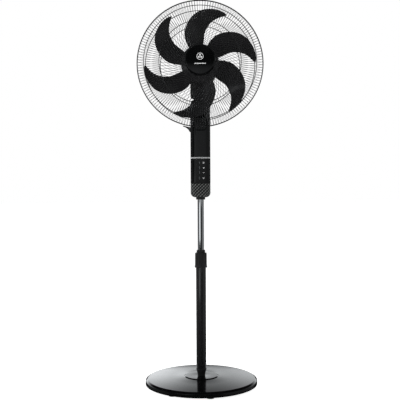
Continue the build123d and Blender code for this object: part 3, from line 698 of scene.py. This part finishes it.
SIGNS = {
    "power": lambda z: [arc_band(2.5, 0.8, 38, 322, z), bar(-0.4, 0.4, 0.3, 3.3, z)],
    "speed": lambda z: [bar(-2.7 + 2.0 * k, -1.4 + 2.0 * k, -2.4, -0.6 + 1.5 * k, z) for k in range(3)],
    "swing": lambda z: [bar(-1.9, 1.9, -0.3, 0.3, z), slab([(-3.4, 0), (-1.8, -1.2), (-1.8, 1.2)], z),
                        slab([(3.4, 0), (1.8, 1.2), (1.8, -1.2)], z)],
    "timer": lambda z: [arc_band(2.5, 0.6, 0, 360, z, 36), bar(-0.25, 0.25, -0.2, 1.8, z),
                        bar(0.2, 1.5, -0.25, 0.25, z)],
}
for use, height in BUTTON_HEIGHTS.items():
    add_piece("legend_" + use, merge(*SIGNS[use](height)), use + "_button", "white_print", sharp=20.0)

# %% [markdown]
# ## Blades
# Six blades sweep forward on a drum-shaped hub. One blade is lofted through closed sections. Each section
# is a thin lens: it tapers to its edges, it is bowed so that the air is turned, and it is twisted from a
# steep root to a nearly flat tip. Nine stations give its shape, and a smooth curve through them gives the
# sections between. Subdividing a rough cage would round the tip off by guesswork.

# %% One blade's sections
BLADE_STATIONS = [(62.8, -66.5, -19.5, 40.0), (83.5, -63.5, -20.2, 39.0), (105.0, -59.0, -20.8, 36.0),
                  (126.5, -52.0, -18.0, 33.0), (147.0, -44.0, -14.0, 29.0), (164.6, -36.0, -8.6, 25.0),
                  (178.3, -27.0, -3.0, 19.0), (186.6, -17.0, -0.6, 12.0), (190.0, -9.5, -4.0, 4.0)]
BLADE_Y, BLADE_HALF, BLADE_TURN = -108.0, 1.2, 29.5


def smooth_between(rows, parts):
    """A Catmull-Rom curve through rows, with extra rows between each two."""
    rows = [np.array(row, float) for row in rows]
    padded = [2 * rows[0] - rows[1], *rows, 2 * rows[-1] - rows[-2]]
    result = []
    for i in range(1, len(padded) - 2):
        a, b, c, d = padded[i - 1:i + 3]
        for k in range(parts):
            t = k / parts
            result.append(0.5 * (2 * b + (c - a) * t + (2 * a - 5 * b + 4 * c - d) * t ** 2
                                 + (3 * b - a - 3 * c + d) * t ** 3))
    return result + [rows[-1]]


def blade_point(station, t, lift):
    """A point at t across the blade, from trailing to leading edge, lifted towards the rear."""
    radius, trailing, leading, depth = station
    middle, half_angle = radians((trailing + leading) / 2), radians((leading - trailing) / 2)
    reach, along = radius * cos(half_angle), radius * sin(half_angle) * (2 * t - 1)
    y = BLADE_Y + depth * (t - 0.5) + 0.48 * depth * t * (1 - t) + lift
    return (reach * sin(middle) + along * cos(middle), y,
            HUB_Z + reach * cos(middle) - along * sin(middle))


ACROSS, BETWEEN_STATIONS = 18, 4
stations = smooth_between(BLADE_STATIONS, BETWEEN_STATIONS)
print("a blade has", len(stations), "sections")


# %% Six blades and the hub
BLADES, TIP_R, THINNING, HUB_STEPS = 6, 191.0, 60.0, 144


def blade():
    vertices = []
    for station in stations:
        thin = 0.45 + 0.55 * min(1.0, (TIP_R - station[0]) / THINNING)
        for k in range(2 * ACROSS):
            t = k / ACROSS if k <= ACROSS else 2 - k / ACROSS
            edge = (1 - abs(2 * t - 1) ** 5) ** 0.5
            vertices.append(blade_point(station, t, (1 if k > ACROSS else -1) * BLADE_HALF * thin * edge))
    size = 2 * ACROSS
    ends = [tuple(range(size)), tuple(range(len(vertices) - 1, len(vertices) - size - 1, -1))]
    return vertices, loop_faces(len(stations), size, joined=False) + ends


def turned_about_fan(form, degrees):
    """A form turned clockwise about the fan axis, seen from the front."""
    turn_by = Matrix.Rotation(radians(degrees), 3, "Y")
    middle = Vector((0, 0, HUB_Z))
    return [tuple(turn_by @ (Vector(point) - middle) + middle) for point in form[0]], form[1]


HUB_OUTLINE = [(4.0, -133.0, 0.3), (48.0, -131.0, 10.0), (61.5, -126.0, 7.0), (64.5, -116.0, 6.0),
               (64.5, -86.0, 0.8), (61.5, -86.0, 0.8), (61.5, -115.5, 5.0), (57.5, -124.0, 5.0),
               (47.0, -128.2, 8.0), (12.0, -129.5, 1.5), (12.0, -96.0, 0.5), (4.0, -96.0, 0.3)]
hub = turn(soften(HUB_OUTLINE), HUB_STEPS, about_fan)
one_blade = blade()
blades = [turned_about_fan(one_blade, BLADE_TURN + 360 / BLADES * i) for i in range(BLADES)]
add_piece("blade_wheel", merge(hub, *blades), "rotor", "smoked_blade_plastic", ["fan_blades"], sharp=45.0)

# %% [markdown]
# ## Guard wires
# Each half of the guard has 144 fine wires that run straight out from the inner ring and bow over to the
# rim, and 72 more in its middle. The front's middle wires curl like a whirlpool, and the rear's are
# straight. A bevelled curve could make them, but one wire swept along its path and then copied round the
# axis gives clean even tubes with eight sides and few faces.


# %% Paths of the wires
def tangent_arc(start, toward, end, steps):
    """Points of the arc that leaves start along toward and ends at end, in a flat plane."""
    side = Vector((-toward.y, toward.x))
    chord = end - start
    radius = chord.length_squared / (2 * side.dot(chord))
    centre = start + side * radius
    first = atan2(*(start - centre).yx)
    sweep = 2 * toward.angle_signed(chord) * -1
    return [centre + Vector((cos(first + sweep * k / steps), sin(first + sweep * k / steps))) * abs(radius)
            for k in range(1, steps + 1)]


def arc_through(first, middle, last, steps):
    """Points of the circle arc through three points in space."""
    a, b = first - last, middle - last
    normal = a.cross(b)
    centre = last + (a.length_squared * b - b.length_squared * a).cross(normal) / (2 * normal.length_squared)
    spoke, axis = first - centre, (first - centre).cross(last - centre).normalized()
    whole = spoke.angle(last - centre)
    return [centre + Matrix.Rotation(whole * k / steps, 3, axis) @ spoke for k in range(steps + 1)]


ARC_STEPS, CURL_STEPS, SPOKE_STEPS = 9, 16, 4


def outer_path(inner, middle, rim, y_rim):
    start, bend, end = Vector(inner), Vector(middle), Vector((rim, y_rim))
    along = (bend - start).normalized()
    flat = [start, start.lerp(bend, 0.5), bend] + tangent_arc(bend, along, end, ARC_STEPS)
    return [Vector(about_fan(point.x, 0.0, point.y)) for point in flat]


# %% Wires swept and copied round the axis
WIRE_R, WIRE_SIDES = 0.58, 8


def wire(path):
    """A round wire with closed ends along a path."""
    vertices, count = [], len(path)
    upright = Vector((1, 0, 0)) if abs((path[1] - path[0]).normalized().x) < 0.9 else Vector((0, 1, 0))
    for i, point in enumerate(path):
        along = (path[min(i + 1, count - 1)] - path[max(i - 1, 0)]).normalized()
        side = upright.cross(along).normalized()
        other = along.cross(side)
        for k in range(WIRE_SIDES):
            angle = 2 * pi * k / WIRE_SIDES
            vertices.append(point + (side * cos(angle) + other * sin(angle)) * WIRE_R)
    ends = [tuple(range(WIRE_SIDES)), tuple(range(len(vertices) - 1, len(vertices) - WIRE_SIDES - 1, -1))]
    return vertices, loop_faces(count, WIRE_SIDES, joined=False) + ends


def around_fan(form, count, start=0.0):
    return [turned_about_fan(form, start + 360 * i / count) for i in range(count)]


def clock(radius, degrees_clockwise, y):
    return Vector(about_fan(radius, radians(degrees_clockwise), y))


print("wires are", 2 * WIRE_R, "mm thick")

# %% The guard's wires
WIRES, INNER_WIRES, SWIRL, INTO_RING = 144, 72, 44.0, 0.6
RIM_R, RIM_WIRE, RING_WIRE, FRONT_RIM, REAR_RIM = 212.0, 1.7, 1.2, -109.9, -106.3
FRONT_MID, FRONT_INNER, FRONT_CENTRE = (189.9, -142.0), (135.9, -156.0), (47.0, -169.0)
REAR_MID, REAR_INNER, REAR_CENTRE = (188.6, -66.0), (136.2, -55.5), (60.7, -48.4)
curl = arc_through(clock(FRONT_INNER[0] - INTO_RING, 0, FRONT_INNER[1]), clock(94.0, -0.36 * SWIRL, -162.76),
                   clock(FRONT_CENTRE[0], -SWIRL, FRONT_CENTRE[1]), CURL_STEPS)
start, end = clock(REAR_INNER[0] - INTO_RING, 0, REAR_INNER[1]), clock(REAR_CENTRE[0], 0, REAR_CENTRE[1])
spoke = [start.lerp(end, k / SPOKE_STEPS) for k in range(SPOKE_STEPS + 1)]
guards = {
    "front": (outer_path(FRONT_INNER, FRONT_MID, RIM_R - RIM_WIRE, FRONT_RIM), curl),
    "rear": (outer_path(REAR_INNER, REAR_MID, RIM_R - RIM_WIRE, REAR_RIM), spoke),
}
for half, (outer, inner) in guards.items():
    wires = around_fan(wire(outer), WIRES) + around_fan(wire(inner), INNER_WIRES, 180 / WIRES)
    add_piece(half + "_guard_wires", merge(*wires), "head", "black_coated_wire", [half + "_wires"],
              sharp=60.0)

# %% [markdown]
# ## Guard rings
# The wires are welded to thinner rings inside and to a thicker one at the rim. Each ring is a small circle
# turned about the fan axis.


# %% Rings
RING_SIDES, RING_STEPS = 12, 216


def ring(radius, y, thickness):
    angles = [2 * pi * k / RING_SIDES for k in range(RING_SIDES)]
    outline = [(radius + thickness * cos(angle), y + thickness * sin(angle)) for angle in angles]
    return turn(outline, RING_STEPS, about_fan)


STEP = WIRE_R + RING_WIRE
RINGS = {
    "front": [(RIM_R, FRONT_RIM, RIM_WIRE), (FRONT_MID[0] - 1.5, FRONT_MID[1] + 0.4 + STEP, RING_WIRE),
              (FRONT_INNER[0], FRONT_INNER[1] + STEP, RING_WIRE),
              (FRONT_CENTRE[0], FRONT_CENTRE[1] + STEP, RING_WIRE)],
    "rear": [(RIM_R, REAR_RIM, RIM_WIRE), (REAR_MID[0] - 1.5, REAR_MID[1] - 0.3 - STEP, RING_WIRE),
             (REAR_INNER[0], REAR_INNER[1] - STEP, RING_WIRE)],
}
for half, rows in RINGS.items():
    add_piece(half + "_guard_rings", merge(*[ring(*row) for row in rows]), "head", "black_coated_wire",
              [half + "_rings"], sharp=60.0)

# %% [markdown]
# ## Badge
# The flat disc at the middle of the guard hides the nut behind it. It is glossy, with a rolled edge. The
# plain printed emblem on it, a ring with three petals and a bar, comes with the CAD frame.

# %% The badge disc
BADGE_STEPS = 144
BADGE_OUTLINE = [(0.0, -184.0, 0.0), (46.5, -184.0, 4.0), (50.0, -180.6, 3.0), (50.0, -170.0, 0.4),
                 (47.5, -170.0, 0.4), (47.5, -178.0, 0.5), (0.0, -178.0, 0.0)]
add_piece("badge_form", turn(soften(BADGE_OUTLINE), BADGE_STEPS, about_fan), "head", "gloss_black_plastic",
          ["badge_disc"])

# %% [markdown]
# ## Floor
# The fan stands on a plain white floor that glows a little, so it runs into the white room with no horizon.
# The floor is hidden from reflections. A real white floor would show as a grey sheen in every black side.

# %% The floor
FLOOR = 30.0
floor_mesh = bpy.data.meshes.new("studio_floor")
floor_mesh.from_pydata([(-FLOOR, -FLOOR, 0), (FLOOR, -FLOOR, 0), (FLOOR, FLOOR, 0), (-FLOOR, FLOOR, 0)], [],
                       [(0, 1, 2, 3)])
floor = bpy.data.objects.new("studio_floor", floor_mesh)
bpy.context.scene.collection.objects.link(floor)
paper = Finish("studio_paper", (0.9, 0.9, 0.9), 0.9, Emission_Color=(1, 1, 1, 1), Emission_Strength=0.9)
paper.bump(paper.noise(3.0), 0.02)
floor_mesh.materials.append(paper.material)
floor.visible_glossy = False
print("floor laid")

# %% [markdown]
# ## Room
# The camera sees a plain white room. What lights the fan and shows in its gloss is a second room, worked
# out from the direction of each ray: a bright wall low behind the fan, fading upward, so the base goes from
# pale at its far edge to dark at its near edge; an upright white card ahead and to the left, which gives
# the chrome tube its bright line; dim sides; and a nearly dark front, so black faces stay black. Real walls
# and cards could do this, but a few smooth steps of the direction are easier to adjust.


# %% Steps and windows of a direction
world = bpy.data.worlds.new("studio_room")
bpy.context.scene.world = world
room = NodeTree(world)


def eased(value, low, high):
    return room.node("ShaderNodeMapRange", {"interpolation_type": "SMOOTHSTEP"},
                     {"Value": value, "From Min": low, "From Max": high})


def window(value, rise_from, rise_to, fall_from, fall_to):
    return eased(value, rise_from, rise_to) * (1 - eased(value, fall_from, fall_to))


direction = room.node("ShaderNodeTexCoord", output="Generated")
split = room.node("ShaderNodeSeparateXYZ", inputs={0: direction})
side, depth, height = (Value(room.tree, socket) for socket in split.socket.node.outputs)
print("a direction is split into side, depth and height")

# %% The room that the gloss mirrors
level = window(height, -0.45, -0.15, 0.30, 0.55)
behind = eased(depth, 0.1, 0.85) * window(height, 0.07, 0.16, 0.20, 0.52) \
    * (2.6 - 1.5 * eased(side, -0.12, 0.02) + 0.5 * eased(side, 0.03, 0.12))
ahead = 1 - eased(depth, -0.9, -0.6)
dim_front = ahead * window(height, -0.015, 0.0, 0.10, 0.15) * (0.36 - 0.1 * eased(side, -0.01, 0.004))
card = window(side, -0.84, -0.74, -0.32, -0.18) * (1 - eased(depth, -0.5, -0.3)) \
    * window(height, -0.112, -0.096, -0.012, 0.005)
left = (1 - eased(side, -0.8, -0.5)) * eased(depth, -0.6, -0.1) * level
right = eased(side, 0.6, 0.8) * level
seen_by_gloss = 0.02 + behind + dim_front + 1.2 * card + 0.13 * left + 0.17 * right
gloss_room = room.node("ShaderNodeBackground", inputs={"Strength": seen_by_gloss,
                                                        "Color": (0.95, 0.98, 1, 1)})
plain_room = room.node("ShaderNodeBackground", inputs={"Strength": 1.0, "Color": (1, 1, 1, 1)})
camera_ray = room.node("ShaderNodeLightPath", output="Is Camera Ray")
either = room.node("ShaderNodeMixShader", inputs={0: camera_ray, 1: gloss_room, 2: plain_room})
room.feed(room.tree.nodes.new("ShaderNodeOutputWorld").inputs[0], either)
print("room made")

# %% [markdown]
# ## Soft boxes
# Three large soft boxes light the matt surfaces: a strong one on the left, a weak one on the right and one
# above. They are hidden from reflections, because the room already draws the highlights in the gloss.


# %% Three soft boxes
def soft_box(name, place, target, width, tall, watts):
    light = bpy.data.lights.new(name, "AREA")
    light.shape, light.size, light.size_y, light.energy = "RECTANGLE", width, tall, watts
    lamp = bpy.data.objects.new(name, light)
    lamp.location = place
    lamp.rotation_euler = (Vector(target) - Vector(place)).to_track_quat("-Z", "Y").to_euler()
    lamp.visible_glossy = False
    bpy.context.scene.collection.objects.link(lamp)


soft_box("left_box", (-2.6, -1.4, 1.3), (0, 0, 0.8), 0.9, 2.2, 55)
soft_box("right_box", (2.8, -0.6, 1.1), (0, 0, 0.8), 0.9, 2.0, 18)
soft_box("top_box", (0.3, -0.8, 3.2), (0, 0, 0.6), 2.0, 2.0, 45)
print("three soft boxes")

# %% [markdown]
# ## Camera
# A fairly long lens, about halfway up the fan, looks very slightly down at it. A short lens from close by
# would make the round base and the guard bulge.

# %% The camera
lens = bpy.data.cameras.new("studio_camera")
lens.lens, lens.sensor_width = 66.4, 36.0
camera = bpy.data.objects.new("studio_camera", lens)
look_down, lean = radians(1.043), radians(-0.26)
stand_point = Matrix.Translation((-0.0023, -2.6, 0.701))
aim = Matrix.Rotation(pi / 2 - look_down, 4, "X") @ Matrix.Rotation(lean, 4, "Z")
camera.matrix_world = stand_point @ aim
bpy.context.scene.collection.objects.link(camera)
bpy.context.scene.camera = camera
bpy.context.scene.view_settings.view_transform = "Standard"
print("camera", round(lens.lens, 1), "mm")
